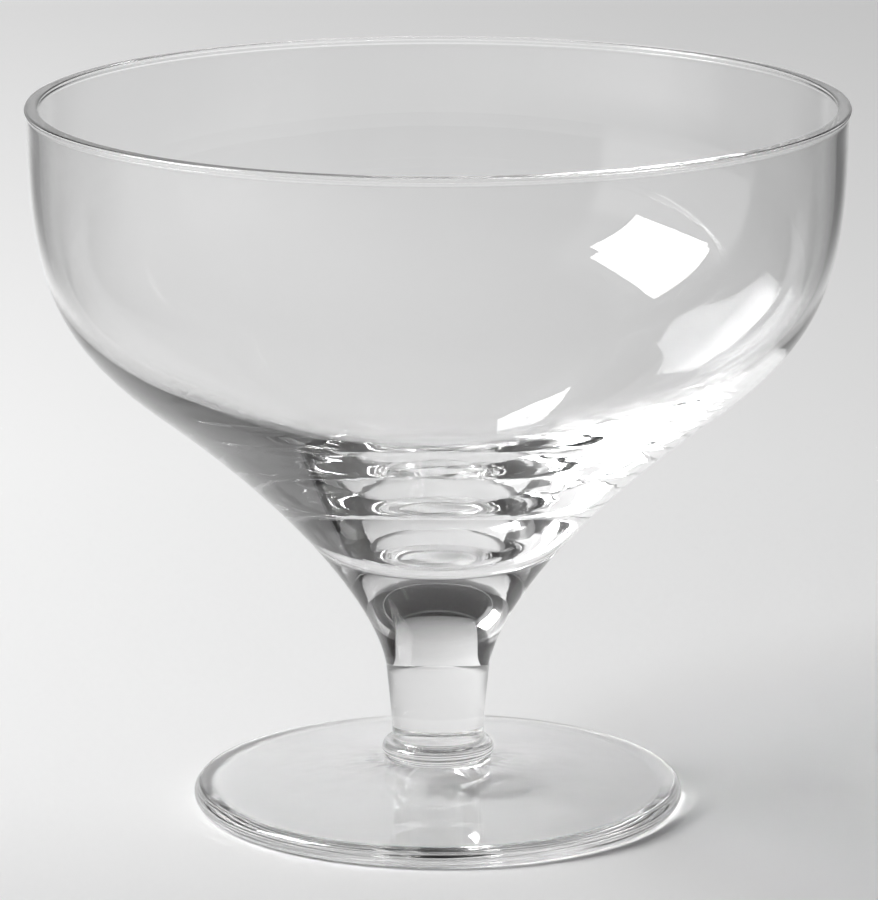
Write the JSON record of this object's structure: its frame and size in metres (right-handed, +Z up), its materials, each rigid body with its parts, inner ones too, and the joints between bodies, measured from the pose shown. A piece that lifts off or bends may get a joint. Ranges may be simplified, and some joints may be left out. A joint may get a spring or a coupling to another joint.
{
  "type": "footed dessert bowl",
  "caption": "Clear crystal dessert bowl: a thin-rimmed blown bowl on a thick solid base, carried by a short stem, a round collar and a disc foot.",
  "frame": {"origin": "on the turning axis, at the level of the ring that the foot stands on", "axes": "+Z up along the turning axis; the bowl is round, so X and Y are free"},
  "size_m": [0.114, 0.114, 0.1],
  "materials": {
    "crystal": "fire-polished"
  },
  "bodies": {
    "root": {"bowl": "crystal", "stem": "crystal", "collar": "crystal", "foot": "crystal"}
  },
  "joints": []
}
